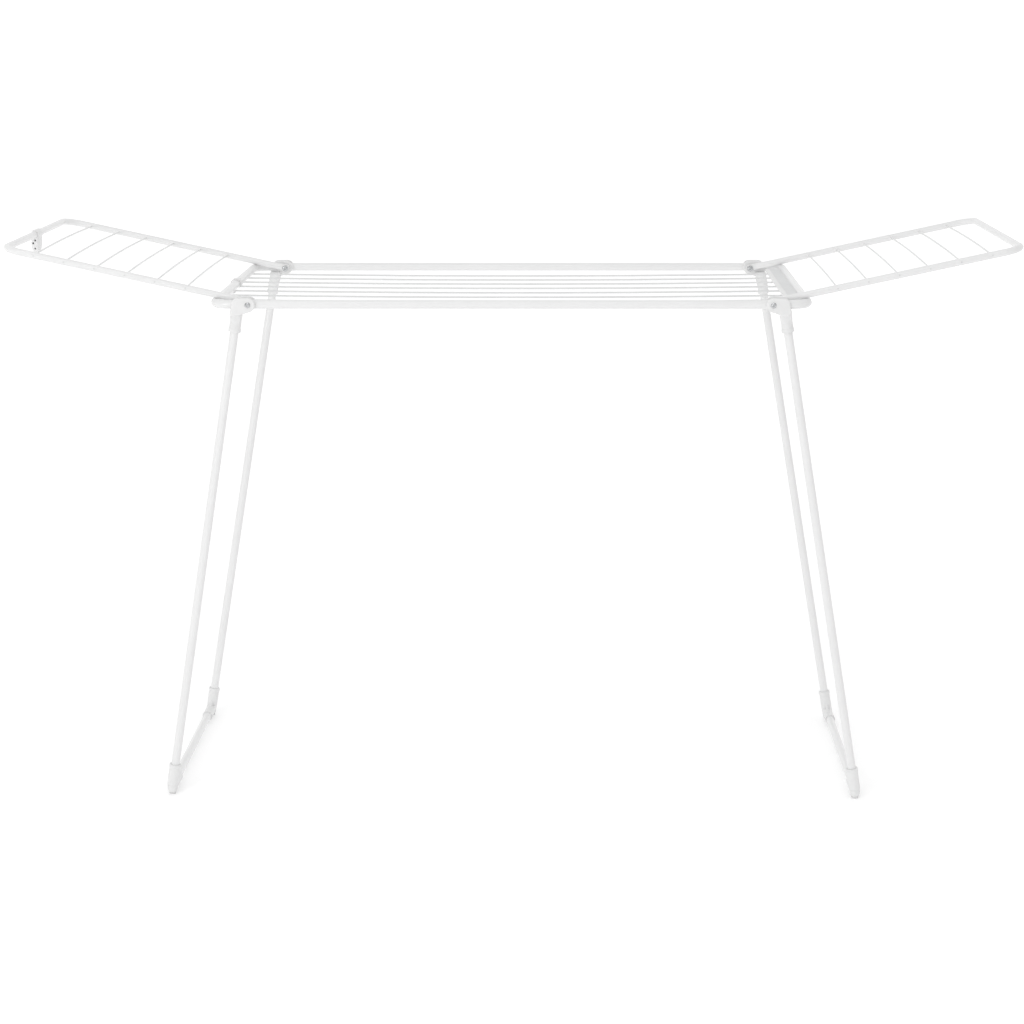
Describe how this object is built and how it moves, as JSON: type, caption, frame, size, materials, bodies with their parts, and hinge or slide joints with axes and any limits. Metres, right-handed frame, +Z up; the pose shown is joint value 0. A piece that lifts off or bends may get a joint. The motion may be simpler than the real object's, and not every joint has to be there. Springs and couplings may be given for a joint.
{
  "type": "clothes drying rack",
  "caption": "Winged floor-standing clothes drying rack in white coated steel tube, with folding side wings and folding U-shaped leg frames.",
  "frame": {"origin": "on the floor, under the middle of the rack standing open", "axes": "+X along the rack towards the wing with no hanger holder, +Y across it to the back, +Z up"},
  "size_m": [1.8632, 0.582, 1.0679],
  "materials": {
    "tube_paint": "gloss white powder coat",
    "wire_coat": "gloss white powder coat on wire",
    "moulded_white": "moulded, satin gloss",
    "inlay_grey": "moulded, fine satin",
    "rivet_steel": "zinc plated",
    "tip_rubber": "soft, slightly translucent"
  },
  "bodies": {
    "frame": {"carry_clip": "moulded_white", "drying_wire_1": "wire_coat", "drying_wire_2": "wire_coat", "drying_wire_3": "wire_coat", "drying_wire_4": "wire_coat", "drying_wire_5": "wire_coat", "drying_wire_6": "wire_coat", "drying_wire_7": "wire_coat", "end_tray": "moulded_white", "main_tube_back": "tube_paint", "main_tube_front": "tube_paint", "pivot_rivets": "rivet_steel", "pivot_washers": "rivet_steel", "tray_inlay": "inlay_grey", "tube_joiners": "rivet_steel"},
    "left_wing": {"hanger_holder": "moulded_white", "left_back_wing_eye": "moulded_white", "left_front_wing_eye": "moulded_white", "left_wing_tube": "tube_paint", "left_wing_wire_1": "wire_coat", "left_wing_wire_2": "wire_coat", "left_wing_wire_3": "wire_coat", "left_wing_wire_4": "wire_coat", "left_wing_wire_5": "wire_coat", "left_wing_wire_6": "wire_coat"},
    "right_wing": {"right_back_wing_eye": "moulded_white", "right_front_wing_eye": "moulded_white", "right_wing_tube": "tube_paint", "right_wing_wire_1": "wire_coat", "right_wing_wire_2": "wire_coat", "right_wing_wire_3": "wire_coat", "right_wing_wire_4": "wire_coat", "right_wing_wire_5": "wire_coat", "right_wing_wire_6": "wire_coat"},
    "left_leg": {"left_back_foot": "moulded_white", "left_back_foot_tip": "tip_rubber", "left_back_leg_bracket": "moulded_white", "left_back_leg_tube": "tube_paint", "left_floor_bar": "tube_paint", "left_front_foot": "moulded_white", "left_front_foot_tip": "tip_rubber", "left_front_leg_bracket": "moulded_white", "left_front_leg_tube": "tube_paint"},
    "right_leg": {"right_back_foot": "moulded_white", "right_back_foot_tip": "tip_rubber", "right_back_leg_bracket": "moulded_white", "right_back_leg_tube": "tube_paint", "right_floor_bar": "tube_paint", "right_front_foot": "moulded_white", "right_front_foot_tip": "tip_rubber", "right_front_leg_bracket": "moulded_white", "right_front_leg_tube": "tube_paint"}
  },
  "joints": [
    {"name": "left_wing_fold", "type": "hinge", "parent": "frame", "child": "left_wing", "pos_m": [-0.476, 0, 0.961], "axis": [0, 1, 0], "range_deg": [0, 164]},
    {"name": "right_wing_fold", "type": "hinge", "parent": "frame", "child": "right_wing", "pos_m": [0.476, 0, 0.961], "axis": [0, -1, 0], "range_deg": [0, 164]},
    {"name": "left_leg_fold", "type": "hinge", "parent": "frame", "child": "left_leg", "pos_m": [-0.476, 0, 0.961], "axis": [0, -1, 0], "range_deg": [0, 99.8]},
    {"name": "right_leg_fold", "type": "hinge", "parent": "frame", "child": "right_leg", "pos_m": [0.476, 0, 0.961], "axis": [0, 1, 0], "range_deg": [0, 96]}
  ]
}
